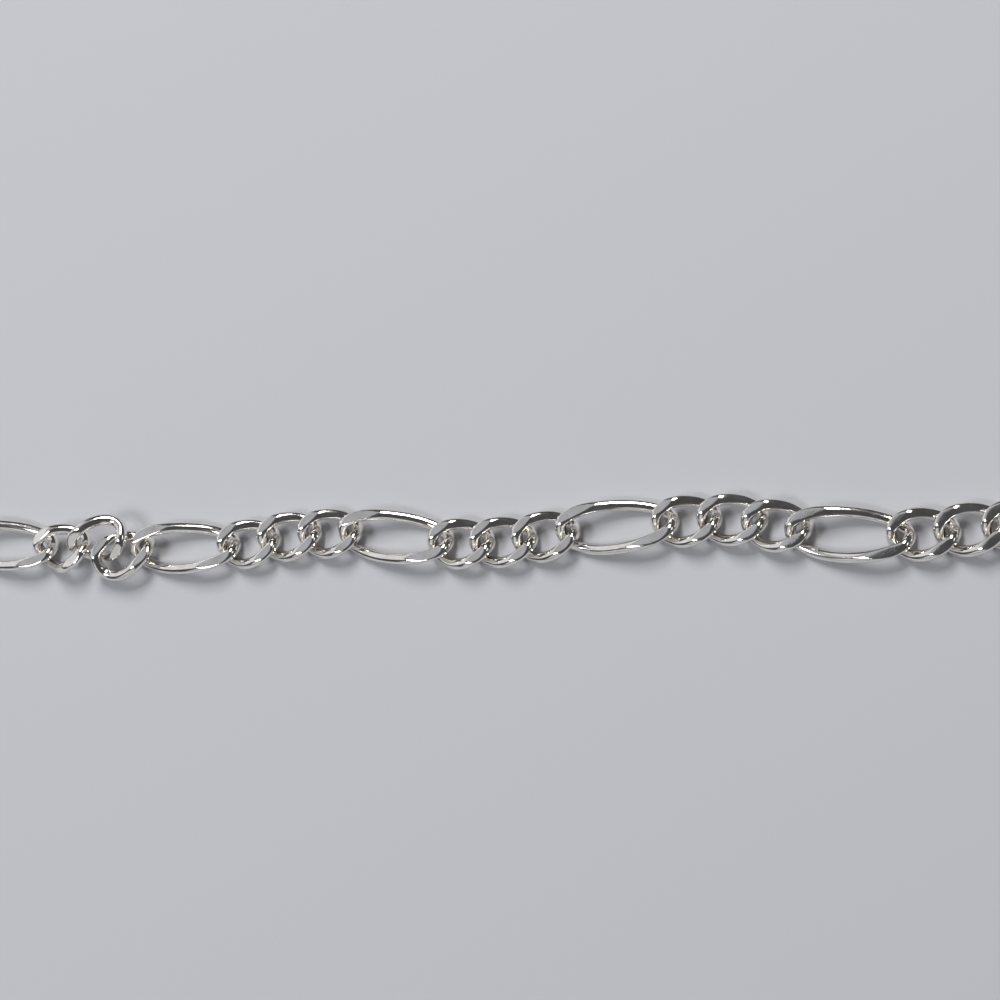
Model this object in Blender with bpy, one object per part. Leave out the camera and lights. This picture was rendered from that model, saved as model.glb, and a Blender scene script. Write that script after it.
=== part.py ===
"""Figaro chain necklace, a closed loop lying flat.

One long link is followed by three small ones, all the way round. Each link is an oval of
round wire, twisted about the chain so that its upper left and lower right corners ride over
its neighbours, then cut flat on both faces. The loop lies on z = 0, its front run along X.

Lengths in the tables are millimetres and angles are degrees. Everything else is in metres.
"""

import bisect
import math

import bpy
import bmesh
from mathutils import Euler, Matrix, Vector

MM = 0.001

# ---------------------------------------------------------------- driving sizes, millimetres
WIRE = 0.98           # wire diameter
THICKNESS = 1.8       # from cut face to cut face
GAP = 0.24            # free play between two links pulled straight
JOIN = 0.18           # how far two joined links sink into each other
WIRE_SIDES = 6
JOINED_SIDES = 5

# outer length, outer width, squareness of the oval, twist of each end, segments round the oval
LINK_COLUMNS = ("length", "width", "squareness", "twist", "segments")
LINKS = {
    "small": (6.1, 4.4, 2.3, 40.0, 14),
    "long": (10.8, 4.6, 2.6, 38.0, 16),
}

# The clasp: a plain rounded bar with one loop, the size of a small link, at each end.
CLASP_LENGTH = 14.6   # over the two loops
CLASP_BODY_LENGTH = 9.0
CLASP_BODY_WIDTH = 5.0
CLASP_BODY_THICKNESS = 2.0
CLASP_CORNER = 1.5
CLASP_BEVEL = 0.35

# Where the middle of the front run sits in the part's frame.
RUN_X = 4.5
RUN_Y = -45.93

# The front run, link by link from the left: centre, heading, nose-down and roll of each.
FRONT_COLUMNS = ("kind", "x", "y", "z", "yaw", "pitch", "roll")
FRONT = (
    ("long", -47.5, -4.1, 0.9, -3, 0, 0),
    ("small", -41.34, -4.4, 1.37, 1.3, -8.7, 7.3),
    ("small", -37.45, -3.74, 1.757, 15, -7.2, 30.4),
    ("small", -35.04, -4.92, 1.335, 20.5, 7.8, -6),
    ("long", -29.21, -4.28, 0.9, 0.9, 0, 0),
    ("small", -22.95, -3.9, 0.9, 7, 0, 0),
    ("small", -19.05, -3.25, 0.9, 7, 0, 0),
    ("small", -15.2, -3.0, 0.9, 2, 0, 0),
    ("long", -9.0, -3.3, 0.9, -6, 0, 0),
    ("small", -2.9, -3.85, 0.9, 0, 0, 0),
    ("small", 0.95, -3.7, 0.9, 3, 0, 0),
    ("small", 4.75, -3.2, 0.9, 9, 0, 0),
    ("long", 10.96, -2.4, 0.9, 4, 0, 0),
    ("small", 17.0, -1.95, 0.9, 3, 0, 0),
    ("small", 20.93, -1.83, 0.9, -1, 0, 0),
    ("small", 24.68, -2.33, 0.9, -6, 0, 0),
    ("long", 30.74, -3.03, 0.9, -3.5, 0, 0),
    ("small", 36.76, -3.0, 0.9, 2, 0, 0),
    ("small", 40.6, -2.6, 0.9, 5, 0, 0),
    ("small", 44.4, -2.3, 0.9, 3, 0, 0),
)

# The rest of the loop, the plain way round: the points that it passes, as a share of the loop's
# depth, its heading there, and how far it keeps that heading before and after the point. The
# depth comes from the chain's length.
COURSE_COLUMNS = ("x", "share", "heading", "before", "after")
COURSE = (
    (87.0, 0.47, 90, 22, 24),
    (0.0, 1.0, 180, 62, 62),
    (-87.0, 0.47, 270, 24, 22),
)
FRONT_REACH = 28.0    # how far the loop keeps the front run's heading past each end of it
PATTERN = ("long", "small", "small", "small")
REPEATS_RIGHT = 8       # hidden repeats from the front run's right end to the clasp
REPEATS_LEFT = 9        # and from the clasp to its left end
SINGLE_EACH_SIDE = 10   # links past each end of the front run that are pieces of their own
JOINED_SOLIDS_EACH_SIDE = 2


def link_size(kind):
    return dict(zip(LINK_COLUMNS, LINKS[kind]))


def reach(kind):
    """Half the length of the wire's centre line."""
    if kind == "clasp":
        return (CLASP_LENGTH - WIRE) / 2
    return (link_size(kind)["length"] - WIRE) / 2


def pitch_between(first, second):
    """Centre to centre distance of two neighbours pulled straight, less the free play."""
    return reach(first) + reach(second) - WIRE - GAP


# ---------------------------------------------------------------- one link
def signed_power(value, power):
    return math.copysign(abs(value) ** power, value)


def wire_point(size, angle, tight=(0.0, 0.0)):
    """A point of the twisted oval that the wire follows, its two ends drawn in by tight."""
    half_length = (size["length"] - WIRE) / 2 - tight[1 if math.cos(angle) > 0 else 0]
    half_width = (size["width"] - WIRE) / 2
    power = 2 / size["squareness"]
    x = half_length * signed_power(math.cos(angle), power)
    y = half_width * signed_power(math.sin(angle), power)
    twist = -math.radians(size["twist"]) * x / half_length
    return Vector((x, y * math.cos(twist), y * math.sin(twist))), twist


def link_rings(size, segments, sides, tight=(0.0, 0.0)):
    """Rings of points round the wire, pressed flat where they pass the two cut faces."""
    rings = []
    step = 1e-3
    for i in range(segments):
        angle = 2 * math.pi * i / segments
        here, twist = wire_point(size, angle, tight)
        ahead, _ = wire_point(size, angle + step, tight)
        behind, _ = wire_point(size, angle - step, tight)
        along = (ahead - behind).normalized()
        plane = Vector((0, -math.sin(twist), math.cos(twist)))
        rise = (plane - along * plane.dot(along)).normalized()
        out = along.cross(rise)
        # a polygon a little larger than the one that fits inside the round wire
        radius = WIRE / 2 * (1 + 0.9 / sides ** 2)
        ring = []
        for k in range(sides):
            turn = 2 * math.pi * (k + 0.5) / sides
            point = here + (out * math.cos(turn) + rise * math.sin(turn)) * radius
            point.z = max(-THICKNESS / 2, min(THICKNESS / 2, point.z))
            ring.append(point)
        rings.append(ring)
    return rings


def link_mesh(name, kind, tight=(0.0, 0.0), sides=WIRE_SIDES, fewer=0):
    size = link_size(kind)
    rings = link_rings(size, size["segments"] - fewer, sides, tight)
    bm = bmesh.new()
    verts = [[bm.verts.new(p * MM) for p in ring] for ring in rings]
    count = len(verts)
    for i in range(count):
        for k in range(sides):
            n, m = (i + 1) % count, (k + 1) % sides
            bm.faces.new((verts[i][k], verts[n][k], verts[n][m], verts[i][m]))
    return finish_mesh(bm, name)


def finish_mesh(bm, name, crease=50):
    bmesh.ops.recalc_face_normals(bm, faces=bm.faces)
    if bm.calc_volume(signed=True) < 0:
        bmesh.ops.reverse_faces(bm, faces=bm.faces)
    mesh = bpy.data.meshes.new(name)
    bm.to_mesh(mesh)
    bm.free()
    mesh.shade_smooth()
    mesh.set_sharp_from_angle(angle=math.radians(crease))
    return mesh


# ---------------------------------------------------------------- the chain's course
def bezier(p0, p1, p2, p3, t):
    s = 1 - t
    return p0 * s ** 3 + p1 * 3 * s * s * t + p2 * 3 * s * t * t + p3 * t ** 3


def front_pose(row):
    r = dict(zip(FRONT_COLUMNS, row))
    place = Vector((r["x"] + RUN_X, r["y"] + RUN_Y, r["z"]))
    return r["kind"], place, (r["yaw"], r["pitch"], r["roll"])


def back_course(depth):
    """Points along the loop from the last link of the front run round to the first."""
    _, first, first_turn = front_pose(FRONT[0])
    _, last, last_turn = front_pose(FRONT[-1])
    base = (first.y + last.y) / 2
    knots = [(last.x, last.y, last_turn[0], FRONT_REACH, FRONT_REACH)]
    for row in COURSE:
        r = dict(zip(COURSE_COLUMNS, row))
        knots.append((r["x"], base + depth * r["share"], r["heading"], r["before"], r["after"]))
    knots.append((first.x, first.y, first_turn[0], FRONT_REACH, FRONT_REACH))
    points, steps = [], 240
    for (x0, y0, h0, _, out), (x1, y1, h1, into, _) in zip(knots, knots[1:]):
        a, d = Vector((x0, y0)), Vector((x1, y1))
        b = a + heading_vector(h0) * out
        c = d - heading_vector(h1) * into
        points += [bezier(a, b, c, d, i / steps) for i in range(steps)]
    points.append(Vector((first.x, first.y)))
    return points


def heading_vector(degrees):
    return Vector((math.cos(math.radians(degrees)), math.sin(math.radians(degrees))))


def lengths_along(points):
    total, out = 0.0, [0.0]
    for p, q in zip(points, points[1:]):
        total += (q - p).length
        out.append(total)
    return out


def back_kinds():
    return list(PATTERN * REPEATS_RIGHT) + ["clasp"] + list(PATTERN * REPEATS_LEFT)


def back_poses():
    """Kind, place and heading of every piece of the hidden stretch, in order."""
    kinds = [FRONT[-1][0]] + back_kinds() + [FRONT[0][0]]
    stations, run = [], 0.0
    for first, second in zip(kinds, kinds[1:]):
        run += pitch_between(first, second)
        stations.append(run)
    needed = stations.pop()
    low, high = 40.0, 160.0
    for _ in range(60):                       # the depth that gives the loop this length
        depth = (low + high) / 2
        if lengths_along(back_course(depth))[-1] < needed:
            low = depth
        else:
            high = depth
    points = back_course(depth)
    along = lengths_along(points)
    poses = []
    for kind, station in zip(kinds[1:-1], stations):
        # the two ends of each piece lie on the course
        tail = point_at(points, along, station - reach(kind))
        head = point_at(points, along, station + reach(kind))
        spot, chord = (tail + head) / 2, head - tail
        yaw = math.degrees(math.atan2(chord.y, chord.x))
        height = THICKNESS / 2 if kind != "clasp" else CLASP_BODY_THICKNESS / 2
        poses.append((kind, Vector((spot.x, spot.y, height)), (yaw, 0, 0)))
    return poses


def point_at(points, along, station):
    i = min(max(bisect.bisect_right(along, station) - 1, 0), len(points) - 2)
    share = (station - along[i]) / (along[i + 1] - along[i])
    return points[i].lerp(points[i + 1], min(max(share, 0.0), 1.0))


def matrix_of(place, turn):
    yaw, pitch, roll = (math.radians(a) for a in turn)
    return Matrix.Translation(place * MM) @ Euler((roll, pitch, yaw), "XYZ").to_matrix().to_4x4()


# ---------------------------------------------------------------- objects
def silver(name):
    material = bpy.data.materials.new(name)
    material.use_nodes = True
    shader = material.node_tree.nodes["Principled BSDF"]
    shader.inputs["Base Color"].default_value = (0.83, 0.83, 0.84, 1)
    shader.inputs["Metallic"].default_value = 1.0
    shader.inputs["Roughness"].default_value = 0.14
    return material


def add_object(name, mesh, matrix):
    piece = bpy.data.objects.new(name, mesh)
    bpy.context.scene.collection.objects.link(piece)
    piece.matrix_world = matrix
    return piece


def give_silver(piece):
    if piece.data.materials:
        piece.data = piece.data.copy()
        piece.data.materials.clear()
    piece.data.materials.append(silver(piece.name + "_silver"))
    return piece


def joined(name, pieces):
    """One solid from several overlapping ones."""
    base, others = pieces[0], pieces[1:]
    for other in others:
        cut = base.modifiers.new("join", "BOOLEAN")
        cut.operation = "UNION"
        cut.solver = "EXACT"
        cut.object = other
    bpy.context.view_layer.update()
    graph = bpy.context.evaluated_depsgraph_get()
    mesh = bpy.data.meshes.new_from_object(base.evaluated_get(graph))
    mesh.transform(base.matrix_world)
    mesh.materials.clear()
    mesh.name = name
    for piece in pieces:
        bpy.data.objects.remove(piece)
    middle = sum((v.co for v in mesh.vertices), Vector()) / len(mesh.vertices)
    middle.z = 0
    mesh.transform(Matrix.Translation(-middle))
    mesh.shade_smooth()
    mesh.set_sharp_from_angle(angle=math.radians(50))
    return give_silver(add_object(name, mesh, Matrix.Translation(middle)))


def clasp_body_mesh():
    bm = bmesh.new()
    half_l, half_w = CLASP_BODY_LENGTH / 2, CLASP_BODY_WIDTH / 2
    outline = []
    for sx, sy, start in ((1, 1, 0), (-1, 1, 90), (-1, -1, 180), (1, -1, 270)):
        for i in range(4):
            a = math.radians(start + 30 * i)
            outline.append((
                sx * (half_l - CLASP_CORNER) + CLASP_CORNER * math.cos(a),
                sy * (half_w - CLASP_CORNER) + CLASP_CORNER * math.sin(a)))
    half_t = CLASP_BODY_THICKNESS / 2
    bottom = bm.faces.new([bm.verts.new(Vector((x, y, -half_t)) * MM) for x, y in outline])
    top = bmesh.ops.extrude_face_region(bm, geom=[bottom])
    bmesh.ops.translate(
        bm, vec=(0, 0, CLASP_BODY_THICKNESS * MM),
        verts=[v for v in top["geom"] if isinstance(v, bmesh.types.BMVert)])
    rims = [e for e in bm.edges if abs(e.verts[0].co.z - e.verts[1].co.z) < 1e-7]
    bmesh.ops.bevel(bm, geom=rims, offset=CLASP_BEVEL * MM, segments=1, affect="EDGES")
    return finish_mesh(bm, "clasp_body")


def build_clasp(place, turn):
    frame = matrix_of(place, turn)
    body = add_object("clasp_body", clasp_body_mesh(), frame)
    loop = link_mesh("clasp_loop", "small")
    offset = (CLASP_LENGTH - link_size("small")["length"]) / 2
    drop = (THICKNESS - CLASP_BODY_THICKNESS) / 2 + 0.04
    loops = [
        add_object(f"clasp_loop_{side}", loop,
                   frame @ Matrix.Translation(Vector((side * offset, 0, drop)) * MM))
        for side in (-1, 1)]
    return joined("clasp", [body] + loops)


def main():
    for thing in list(bpy.data.objects):
        bpy.data.objects.remove(thing)

    front = [front_pose(row) for row in FRONT]
    back = back_poses()
    clasp_at = next(i for i, pose in enumerate(back) if pose[0] == "clasp")
    right, left = back[:clasp_at], back[clasp_at + 1:]

    meshes = {kind: link_mesh(kind + "_link", kind) for kind in LINKS}
    single = left[-SINGLE_EACH_SIDE:] + front + right[:SINGLE_EACH_SIDE]
    for number, (kind, place, turn) in enumerate(single, 1):
        give_silver(add_object(f"link_{number:02d}_{kind}", meshes[kind].copy(),
                               matrix_of(place, turn)))

    for side, poses in (("right", right[SINGLE_EACH_SIDE:]), ("left", left[:-SINGLE_EACH_SIDE])):
        per_solid = math.ceil(len(poses) / JOINED_SOLIDS_EACH_SIDE)
        for number in range(JOINED_SOLIDS_EACH_SIDE):
            chunk = poses[number * per_solid:(number + 1) * per_solid]
            pieces = []
            for i, (kind, place, turn) in enumerate(chunk):
                tight = (0.0 if i == 0 else (GAP + JOIN) / 2,
                         0.0 if i == len(chunk) - 1 else (GAP + JOIN) / 2)
                mesh = link_mesh(f"joined_{kind}", kind, tight, JOINED_SIDES, 2)
                pieces.append(add_object(f"joined_{i}", mesh, matrix_of(place, turn)))
            joined(f"chain_{side}_{number + 1}", pieces)

    _, place, turn = back[clasp_at]
    build_clasp(place, turn)


main()
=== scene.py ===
"""Looks of the figaro chain necklace: every link at full fineness in polished silver, a plain
clasp, a pale floor, soft lights and the camera.

The tables and the course of the chain are the ones that the CAD model was made from, in
millimetres and degrees. Everything else is in metres.
"""

import bisect
import math

import bmesh
import bpy
import numpy as np
from mathutils import Euler, Matrix, Vector


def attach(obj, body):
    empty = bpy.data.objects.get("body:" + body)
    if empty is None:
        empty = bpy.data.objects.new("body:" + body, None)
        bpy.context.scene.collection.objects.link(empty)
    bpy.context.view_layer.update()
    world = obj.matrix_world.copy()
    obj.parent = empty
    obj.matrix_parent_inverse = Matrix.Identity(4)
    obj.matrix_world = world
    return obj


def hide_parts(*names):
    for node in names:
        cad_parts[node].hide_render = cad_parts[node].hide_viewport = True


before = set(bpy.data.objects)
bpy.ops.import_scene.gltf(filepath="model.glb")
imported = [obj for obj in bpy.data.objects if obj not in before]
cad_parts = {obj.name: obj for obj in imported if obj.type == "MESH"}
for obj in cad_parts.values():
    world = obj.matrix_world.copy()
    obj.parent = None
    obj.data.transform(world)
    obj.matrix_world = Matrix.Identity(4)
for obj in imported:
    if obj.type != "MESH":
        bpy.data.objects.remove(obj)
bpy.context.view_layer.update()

MM = 0.001

# ---------------------------------------------------------------- sizes, millimetres
WIRE = 0.98
THICKNESS = 1.8
GAP = 0.24
EDGE = 0.05           # how softly a cut face runs into the round of the wire
LINK_COLUMNS = ("length", "width", "squareness", "twist", "segments")
LINKS = {
    "small": (6.1, 4.4, 2.3, 40.0, 14),
    "long": (10.8, 4.6, 2.6, 38.0, 16),
}
CLASP_LENGTH = 14.6
CLASP_BODY_LENGTH = 9.0
CLASP_BODY_WIDTH = 5.0
CLASP_BODY_THICKNESS = 2.0
CLASP_CROWN = 0.22    # how far the middle of its top stands above the edge of the top
RUN_X = 4.5
RUN_Y = -45.93
FRONT_COLUMNS = ("kind", "x", "y", "z", "yaw", "pitch", "roll")
FRONT = (
    ("long", -47.5, -4.1, 0.9, -3, 0, 0),
    ("small", -41.34, -4.4, 1.37, 1.3, -8.7, 7.3),
    ("small", -37.45, -3.74, 1.757, 15, -7.2, 30.4),
    ("small", -35.04, -4.92, 1.335, 20.5, 7.8, -6),
    ("long", -29.21, -4.28, 0.9, 0.9, 0, 0),
    ("small", -22.95, -3.9, 0.9, 7, 0, 0),
    ("small", -19.05, -3.25, 0.9, 7, 0, 0),
    ("small", -15.2, -3.0, 0.9, 2, 0, 0),
    ("long", -9.0, -3.3, 0.9, -6, 0, 0),
    ("small", -2.9, -3.85, 0.9, 0, 0, 0),
    ("small", 0.95, -3.7, 0.9, 3, 0, 0),
    ("small", 4.75, -3.2, 0.9, 9, 0, 0),
    ("long", 10.96, -2.4, 0.9, 4, 0, 0),
    ("small", 17.0, -1.95, 0.9, 3, 0, 0),
    ("small", 20.93, -1.83, 0.9, -1, 0, 0),
    ("small", 24.68, -2.33, 0.9, -6, 0, 0),
    ("long", 30.74, -3.03, 0.9, -3.5, 0, 0),
    ("small", 36.76, -3.0, 0.9, 2, 0, 0),
    ("small", 40.6, -2.6, 0.9, 5, 0, 0),
    ("small", 44.4, -2.3, 0.9, 3, 0, 0),
)
COURSE_COLUMNS = ("x", "share", "heading", "before", "after")
COURSE = (
    (87.0, 0.47, 90, 22, 24),
    (0.0, 1.0, 180, 62, 62),
    (-87.0, 0.47, 270, 24, 22),
)
FRONT_REACH = 28.0
PATTERN = ("long", "small", "small", "small")
REPEATS_RIGHT = 8
REPEATS_LEFT = 9
SINGLE_EACH_SIDE = 10
JOINED_SOLIDS_EACH_SIDE = 2


# ---------------------------------------------------------------- the chain's course
def link_size(kind):
    return dict(zip(LINK_COLUMNS, LINKS[kind]))


def reach(kind):
    if kind == "clasp":
        return (CLASP_LENGTH - WIRE) / 2
    return (link_size(kind)["length"] - WIRE) / 2


def pitch_between(first, second):
    return reach(first) + reach(second) - WIRE - GAP


def bezier(p0, p1, p2, p3, t):
    s = 1 - t
    return p0 * s ** 3 + p1 * 3 * s * s * t + p2 * 3 * s * t * t + p3 * t ** 3


def front_pose(row):
    r = dict(zip(FRONT_COLUMNS, row))
    place = Vector((r["x"] + RUN_X, r["y"] + RUN_Y, r["z"]))
    return r["kind"], place, (r["yaw"], r["pitch"], r["roll"])


def heading_vector(degrees):
    return Vector((math.cos(math.radians(degrees)), math.sin(math.radians(degrees))))


def back_course(depth):
    _, first, first_turn = front_pose(FRONT[0])
    _, last, last_turn = front_pose(FRONT[-1])
    base = (first.y + last.y) / 2
    knots = [(last.x, last.y, last_turn[0], FRONT_REACH, FRONT_REACH)]
    for row in COURSE:
        r = dict(zip(COURSE_COLUMNS, row))
        knots.append((r["x"], base + depth * r["share"], r["heading"], r["before"], r["after"]))
    knots.append((first.x, first.y, first_turn[0], FRONT_REACH, FRONT_REACH))
    points, steps = [], 240
    for (x0, y0, h0, _, out), (x1, y1, h1, into, _) in zip(knots, knots[1:]):
        a, d = Vector((x0, y0)), Vector((x1, y1))
        b = a + heading_vector(h0) * out
        c = d - heading_vector(h1) * into
        points += [bezier(a, b, c, d, i / steps) for i in range(steps)]
    points.append(Vector((first.x, first.y)))
    return points


def lengths_along(points):
    total, out = 0.0, [0.0]
    for p, q in zip(points, points[1:]):
        total += (q - p).length
        out.append(total)
    return out


def point_at(points, along, station):
    i = min(max(bisect.bisect_right(along, station) - 1, 0), len(points) - 2)
    share = (station - along[i]) / (along[i + 1] - along[i])
    return points[i].lerp(points[i + 1], min(max(share, 0.0), 1.0))


def back_poses():
    hidden = list(PATTERN * REPEATS_RIGHT) + ["clasp"] + list(PATTERN * REPEATS_LEFT)
    kinds = [FRONT[-1][0]] + hidden + [FRONT[0][0]]
    stations, run = [], 0.0
    for first, second in zip(kinds, kinds[1:]):
        run += pitch_between(first, second)
        stations.append(run)
    needed = stations.pop()
    low, high = 40.0, 160.0
    for _ in range(60):
        depth = (low + high) / 2
        if lengths_along(back_course(depth))[-1] < needed:
            low = depth
        else:
            high = depth
    points = back_course(depth)
    along = lengths_along(points)
    poses = []
    for kind, station in zip(kinds[1:-1], stations):
        tail = point_at(points, along, station - reach(kind))
        head = point_at(points, along, station + reach(kind))
        spot, chord = (tail + head) / 2, head - tail
        yaw = math.degrees(math.atan2(chord.y, chord.x))
        height = THICKNESS / 2 if kind != "clasp" else CLASP_BODY_THICKNESS / 2
        poses.append((kind, Vector((spot.x, spot.y, height)), (yaw, 0, 0)))
    return poses


def matrix_of(place, turn):
    yaw, pitch, roll = (math.radians(a) for a in turn)
    return Matrix.Translation(place * MM) @ Euler((roll, pitch, yaw), "XYZ").to_matrix().to_4x4()


# ---------------------------------------------------------------- fine links
def wire_path(size, angles):
    """Points and twists along the twisted oval that the wire follows, in millimetres."""
    half_length, half_width = (size["length"] - WIRE) / 2, (size["width"] - WIRE) / 2
    power = 2 / size["squareness"]
    c, s = np.cos(angles), np.sin(angles)
    x = half_length * np.sign(c) * np.abs(c) ** power
    y = half_width * np.sign(s) * np.abs(s) ** power
    twist = -math.radians(size["twist"]) * x / half_length
    return np.stack((x, y * np.cos(twist), y * np.sin(twist)), 1), twist


def even_angles(size, segments):
    """Angles whose points are about evenly spaced along the wire."""
    fine = np.linspace(0, 2 * math.pi, 4001)
    path, _ = wire_path(size, fine)
    run = np.concatenate(([0], np.cumsum(np.linalg.norm(np.diff(path, axis=0), axis=1))))
    return np.interp(np.arange(segments) / segments * run[-1], run, fine)


def flattened(z):
    """Heights pressed onto the two cut faces, with a narrow soft edge."""
    limit = THICKNESS / 2
    over = (limit - np.abs(z)) / EDGE
    return np.sign(z) * (limit - EDGE * np.logaddexp(0, over))


def link_arrays(kind, segments, sides):
    """Vertices in millimetres, quads and how much of each vertex is cut face."""
    size = link_size(kind)
    angles = even_angles(size, segments)
    step = 1e-3
    here, twist = wire_path(size, angles)
    along = wire_path(size, angles + step)[0] - wire_path(size, angles - step)[0]
    along /= np.linalg.norm(along, axis=1, keepdims=True)
    plane = np.stack((np.zeros_like(twist), -np.sin(twist), np.cos(twist)), 1)
    rise = plane - along * np.sum(along * plane, 1, keepdims=True)
    rise /= np.linalg.norm(rise, axis=1, keepdims=True)
    out = np.cross(along, rise)
    turns = 2 * math.pi * (np.arange(sides) + 0.5) / sides
    points = here[:, None] + (out[:, None] * np.cos(turns)[None, :, None]
                              + rise[:, None] * np.sin(turns)[None, :, None]) * WIRE / 2
    cut = np.clip((np.abs(points[..., 2]) - THICKNESS / 2) / 0.04 + 0.5, 0, 1)
    points[..., 2] = flattened(points[..., 2])
    i, k = np.meshgrid(np.arange(segments), np.arange(sides), indexing="ij")
    n, m = (i + 1) % segments, (k + 1) % sides
    quads = np.stack((i * sides + k, n * sides + k, n * sides + m, i * sides + m), -1)
    return points.reshape(-1, 3), quads.reshape(-1, 4), cut.reshape(-1)


def mesh_from(name, verts, quads, floats):
    mesh = bpy.data.meshes.new(name)
    mesh.vertices.add(len(verts))
    mesh.vertices.foreach_set("co", np.asarray(verts, np.float32).ravel())
    mesh.loops.add(quads.size)
    mesh.loops.foreach_set("vertex_index", quads.astype(np.int32).ravel())
    mesh.polygons.add(len(quads))
    mesh.polygons.foreach_set("loop_start", np.arange(0, quads.size, 4, dtype=np.int32))
    mesh.update(calc_edges=True)
    for key, values in floats.items():
        layer = mesh.attributes.new(key, "FLOAT", "POINT")
        layer.data.foreach_set("value", np.asarray(values, np.float32))
    mesh.shade_smooth()
    mesh.validate()
    return mesh


def links_piece(name, poses, segments, sides):
    """One mesh of one or more links, in place."""
    verts, quads, cuts, count = [], [], [], 0
    for kind, place, turn in poses:
        key = (kind, segments[kind], sides)
        if key not in shapes:
            shapes[key] = link_arrays(kind, segments[kind], sides)
        v, q, cut = shapes[key]
        m = np.array(matrix_of(place, turn))
        verts.append(v * MM @ m[:3, :3].T + m[:3, 3])
        quads.append(q + count)
        cuts.append(cut)
        count += len(v)
    mesh = mesh_from(name, np.concatenate(verts), np.concatenate(quads), {"cut": np.concatenate(cuts)})
    return add_piece(name, mesh)


def add_piece(name, mesh):
    piece = bpy.data.objects.new(name, mesh)
    bpy.context.scene.collection.objects.link(piece)
    return piece


shapes = {}


# ---------------------------------------------------------------- the clasp
def rounded_bar(segments, sides):
    """The side of a pillow-shaped bar: a rounded rectangle in plan, an oval in section."""
    half_l, half_w = CLASP_BODY_LENGTH / 2, CLASP_BODY_WIDTH / 2
    half_t = CLASP_BODY_THICKNESS / 2
    verts, quads = [], []
    plan = 2 * math.pi * np.arange(segments) / segments
    c, s = np.cos(plan), np.sin(plan)
    shape_x = np.sign(c) * np.abs(c) ** (2 / 5.0) * half_l
    shape_y = np.sign(s) * np.abs(s) ** (2 / 4.0) * half_w
    levels = np.linspace(-math.pi / 2, math.pi / 2, sides + 1)[1:-1]
    for level in levels:
        rim = np.cos(level) ** (2 / 5.0)
        height = np.sign(np.sin(level)) * np.abs(np.sin(level)) ** (2 / 3.2) * half_t
        if height > 0:
            height *= 1 - CLASP_CROWN / half_t
        for x, y in zip(shape_x, shape_y):
            inset = 0.45 * (1 - rim)
            verts.append((x * (1 - inset / half_l * 1.8) if rim > 0 else 0,
                          y * (1 - inset / half_w * 1.8), height))
    rows = len(levels)
    for r in range(rows - 1):
        for i in range(segments):
            n = (i + 1) % segments
            quads.append((r * segments + i, r * segments + n,
                          (r + 1) * segments + n, (r + 1) * segments + i))
    return np.array(verts), quads, rows


def clasp_piece(place, turn):
    segments, sides = 128, 26
    verts, quads, rows = rounded_bar(segments, sides)
    bm = bmesh.new()
    body = [bm.verts.new(v) for v in verts]
    for q in quads:
        bm.faces.new([body[i] for i in q])
    # a flat underside and a slightly crowned top, each closed by rings that shrink to a hub
    steps = 12
    for row, crown in ((0, 0.0), (rows - 1, CLASP_CROWN)):
        ring = [body[row * segments + i] for i in range(segments)]
        centre = sum((v.co for v in ring), Vector()) / segments
        edge = [v.co.copy() for v in ring]
        for step in range(1, steps):
            share = 1 - step / steps
            lift = Vector((0, 0, crown * (1 - share ** 2)))
            inner = [bm.verts.new(centre.lerp(co, share) + lift) for co in edge]
            for i in range(segments):
                n = (i + 1) % segments
                bm.faces.new((ring[i], ring[n], inner[n], inner[i]))
            ring = inner
        hub = bm.verts.new(centre + Vector((0, 0, crown)))
        for i in range(segments):
            bm.faces.new((ring[i], ring[(i + 1) % segments], hub))
    v, q, _ = link_arrays("small", 96, 32)
    offset = (CLASP_LENGTH - link_size("small")["length"]) / 2
    drop = (THICKNESS - CLASP_BODY_THICKNESS) / 2 + 0.04
    for side in (-1, 1):
        loop = [bm.verts.new((p[0] + side * offset, p[1], p[2] + drop)) for p in v]
        for f in q:
            bm.faces.new([loop[i] for i in f])
    bm.transform(matrix_of(place, turn) @ Matrix.Scale(MM, 4))
    bmesh.ops.recalc_face_normals(bm, faces=bm.faces)
    mesh = bpy.data.meshes.new("clasp_piece")
    bm.to_mesh(mesh)
    bm.free()
    mesh.attributes.new("cut", "FLOAT", "POINT")
    mesh.shade_smooth()
    return add_piece("clasp_piece", mesh)


# ---------------------------------------------------------------- materials
def node(tree, kind, **inputs):
    made = tree.nodes.new(kind)
    for key, value in inputs.items():
        made.inputs[key.replace("_", " ")].default_value = value
    return made


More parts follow.
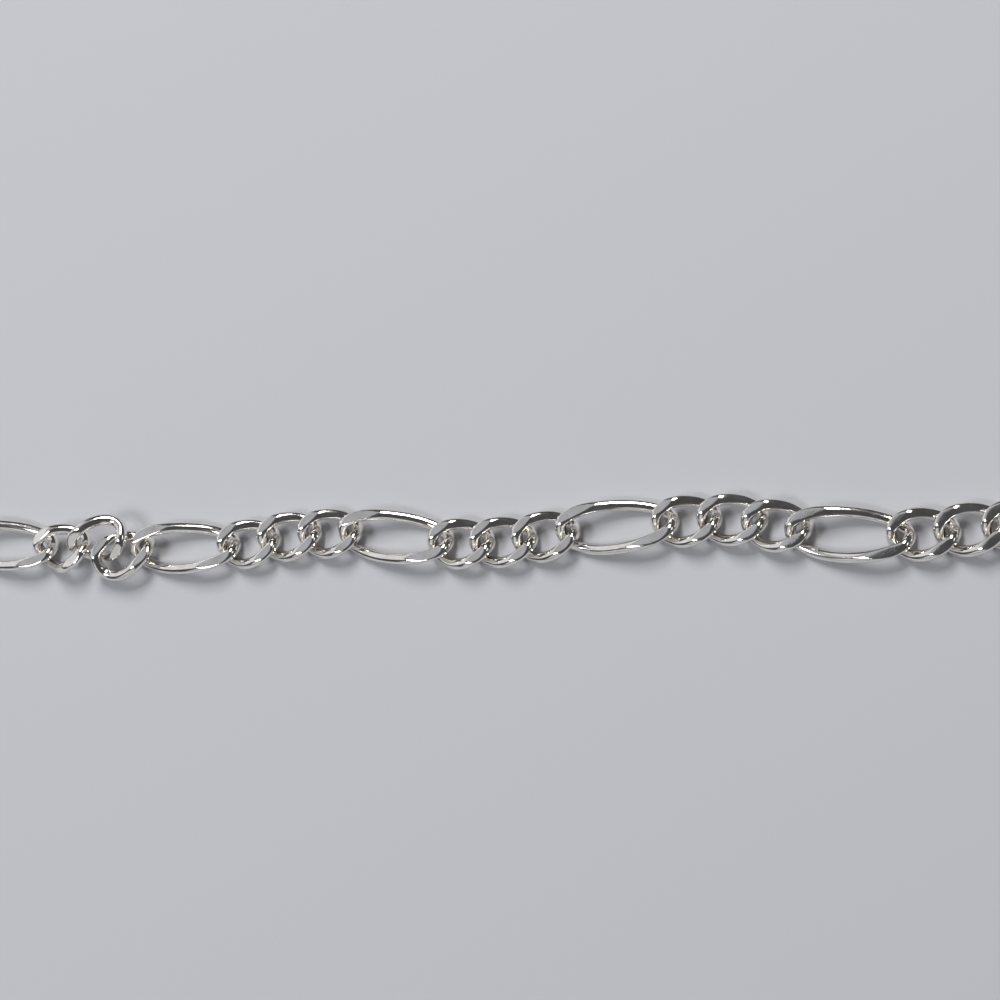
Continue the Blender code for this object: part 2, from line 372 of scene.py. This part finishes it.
def silver_material():
    material = bpy.data.materials.new("polished_silver")
    material.use_nodes = True
    tree = material.node_tree
    shader = tree.nodes["Principled BSDF"]
    shader.inputs["Metallic"].default_value = 1.0
    link = tree.links.new
    spot = tree.nodes.new("ShaderNodeTexCoord")

    # handling marks: broad, faint clouds in the polish
    cloud = node(tree, "ShaderNodeTexNoise", Scale=900.0, Detail=3.0, Roughness=0.55)
    link(spot.outputs["Object"], cloud.inputs["Vector"])
    # fine wear
    grain = node(tree, "ShaderNodeTexNoise", Scale=6500.0, Detail=2.0, Roughness=0.6)
    link(spot.outputs["Object"], grain.inputs["Vector"])

    rough = node(tree, "ShaderNodeMapRange", From_Min=0.35, From_Max=0.75, To_Min=0.07, To_Max=0.17)
    link(cloud.outputs["Fac"], rough.inputs["Value"])
    # the cut faces have the finer polish
    cut = tree.nodes.new("ShaderNodeAttribute")
    cut.attribute_name = "cut"
    finer = node(tree, "ShaderNodeMapRange", To_Min=1.0, To_Max=0.75)
    link(cut.outputs["Fac"], finer.inputs["Value"])
    both = tree.nodes.new("ShaderNodeMath")
    both.operation = "MULTIPLY"
    link(rough.outputs["Result"], both.inputs[0])
    link(finer.outputs["Result"], both.inputs[1])
    link(both.outputs["Value"], shader.inputs["Roughness"])

    tone = tree.nodes.new("ShaderNodeValToRGB")
    tone.color_ramp.elements[0].position = 0.3
    tone.color_ramp.elements[0].color = (0.80, 0.76, 0.70, 1)
    tone.color_ramp.elements[1].position = 0.62
    tone.color_ramp.elements[1].color = (0.92, 0.90, 0.865, 1)
    link(cloud.outputs["Fac"], tone.inputs["Fac"])
    link(tone.outputs["Color"], shader.inputs["Base Color"])

    bump = node(tree, "ShaderNodeBump", Strength=0.12, Distance=0.00003)
    link(grain.outputs["Fac"], bump.inputs["Height"])
    link(bump.outputs["Normal"], shader.inputs["Normal"])
    return material


def floor_material():
    material = bpy.data.materials.new("floor")
    material.use_nodes = True
    shader = material.node_tree.nodes["Principled BSDF"]
    shader.inputs["Base Color"].default_value = (0.60, 0.61, 0.645, 1)
    shader.inputs["Roughness"].default_value = 0.75
    shader.inputs["Specular IOR Level"].default_value = 0.2
    return material


# ---------------------------------------------------------------- the pieces
SEEN = {"small": 132, "long": 190}        # segments round a link that the picture shows
AWAY = {"small": 72, "long": 104}         # and round the others
front = [front_pose(row) for row in FRONT]
back = back_poses()
clasp_at = next(i for i, pose in enumerate(back) if pose[0] == "clasp")
right, left = back[:clasp_at], back[clasp_at + 1:]
silver = silver_material()


def finish_piece(piece, cad_node):
    piece.data.materials.append(silver)
    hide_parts(cad_node)
    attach(piece, "root")


single = left[-SINGLE_EACH_SIDE:] + front + right[:SINGLE_EACH_SIDE]
for number, pose in enumerate(single, 1):
    shown = SINGLE_EACH_SIDE < number <= SINGLE_EACH_SIDE + len(FRONT)
    name = f"link_{number:02d}_{pose[0]}"
    piece = links_piece("silver_" + name, [pose], SEEN if shown else AWAY, 40 if shown else 24)
    finish_piece(piece, name)

for side, poses in (("right", right[SINGLE_EACH_SIDE:]), ("left", left[:-SINGLE_EACH_SIDE])):
    per_solid = math.ceil(len(poses) / JOINED_SOLIDS_EACH_SIDE)
    for number in range(JOINED_SOLIDS_EACH_SIDE):
        chunk = poses[number * per_solid:(number + 1) * per_solid]
        name = f"chain_{side}_{number + 1}"
        finish_piece(links_piece("silver_" + name, chunk, AWAY, 24), name)

_, place, turn = back[clasp_at]
finish_piece(clasp_piece(place, turn), "clasp")

# ---------------------------------------------------------------- floor, lights, camera
floor_mesh = bpy.data.meshes.new("floor")
SPAN = 1.6
floor_mesh.from_pydata([(-SPAN, -SPAN, 0), (SPAN, -SPAN, 0), (SPAN, SPAN, 0), (-SPAN, SPAN, 0)], [], [(0, 1, 2, 3)])
floor = add_piece("floor", floor_mesh)
floor.data.materials.append(floor_material())
floor.location.z = -0.00002


LOOK_AT = Vector((RUN_X * MM, RUN_Y * MM, 0))
REACH = 0.6           # metres from the run to every light

# Each light: degrees down from overhead, degrees round from the run's right towards its far side,
# width and height in metres, brightness, colour.
LIGHT_COLUMNS = ("name", "down", "round", "width", "height", "brightness", "colour")
LIGHTS = (
    ("key", 38, 88, 0.16, 0.31, 11.0, (1.0, 0.985, 0.97)),
    ("left_key", 35, 212, 0.18, 0.17, 7.0, (1.0, 1.0, 1.0)),
    ("right_card", 55, 8, 0.24, 0.14, 1.5, (1.0, 0.96, 0.92)),
    ("front_card", 70, 248, 0.50, 0.32, 0.4, (0.95, 0.97, 1.0)),
    ("overhead_card", 28, 148, 0.40, 0.25, 0.30, (0.88, 0.91, 1.0)),
    ("left_card", 62, 165, 0.75, 0.44, 0.55, (0.95, 0.96, 1.0)),
)


def area(name, down, around, width, height, brightness, colour):
    light = bpy.data.lights.new(name, "AREA")
    light.shape = "RECTANGLE"
    light.size, light.size_y = width, height
    light.energy = brightness * 4 * width * height
    light.color = colour
    thing = bpy.data.objects.new(name, light)
    bpy.context.scene.collection.objects.link(thing)
    down, around = math.radians(down), math.radians(around)
    aim = Vector((math.sin(down) * math.cos(around), math.sin(down) * math.sin(around), math.cos(down)))
    thing.location = LOOK_AT + aim * REACH
    thing.rotation_euler = aim.to_track_quat("Z", "Y").to_euler()
    thing.visible_camera = False
    return thing


for row in LIGHTS:
    area(*row)

world = bpy.data.worlds.new("studio")
bpy.context.scene.world = world
world.use_nodes = True
world.node_tree.nodes["Background"].inputs["Color"].default_value = (0.92, 0.94, 1.0, 1)
world.node_tree.nodes["Background"].inputs["Strength"].default_value = 0.075

# The camera looks down at the run from its right and slightly from the front.
VIEW = Vector((0.393, -0.146, 0.908)).normalized()
ROLL = math.radians(3.4)
across = Vector((0, 1, 0)).cross(VIEW).normalized()
up = VIEW.cross(across)
across, up = (across * math.cos(ROLL) + up * math.sin(ROLL),
              up * math.cos(ROLL) - across * math.sin(ROLL))
camera = bpy.data.objects.new("camera", bpy.data.cameras.new("camera"))
bpy.context.scene.collection.objects.link(camera)
turned = Matrix((across, up, VIEW)).transposed()
camera.matrix_world = Matrix.Translation(LOOK_AT + VIEW * 251.5 * MM) @ turned.to_4x4()
camera.data.lens = 108
camera.data.sensor_width = 36
camera.data.clip_start = 0.01
bpy.context.scene.camera = camera
bpy.context.scene.view_settings.view_transform = "Standard"
